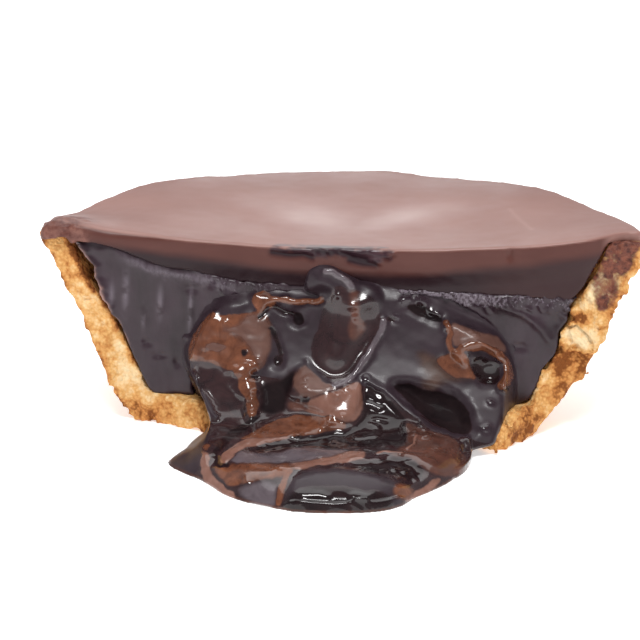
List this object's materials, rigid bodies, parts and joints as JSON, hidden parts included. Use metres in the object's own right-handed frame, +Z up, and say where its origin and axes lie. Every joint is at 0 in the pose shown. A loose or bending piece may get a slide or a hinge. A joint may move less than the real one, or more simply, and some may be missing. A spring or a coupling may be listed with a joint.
{
  "type": "half chocolate tart",
  "caption": "Half of a deep individual chocolate tart, cut through the middle, with its molten centre running out into a puddle.",
  "frame": {"origin": "middle of the object's outline seen from above, on the surface that it stands on", "axes": "+Z up along the tart's own axis, -Y out of the cut face towards the puddle, +X along the cut face to the right as seen from the puddle"},
  "size_m": [0.0905, 0.0808, 0.0311],
  "materials": {
    "crust": "baked shortcrust, matt and crumbly",
    "filling": "set dark chocolate filling, satin where the knife passed",
    "topping": "smooth poured chocolate, satin",
    "sauce": "runny chocolate sauce, wet gloss"
  },
  "bodies": {
    "root": {"crust": "crust", "filling": "filling", "topping": "topping", "sauce": "sauce"}
  },
  "joints": []
}
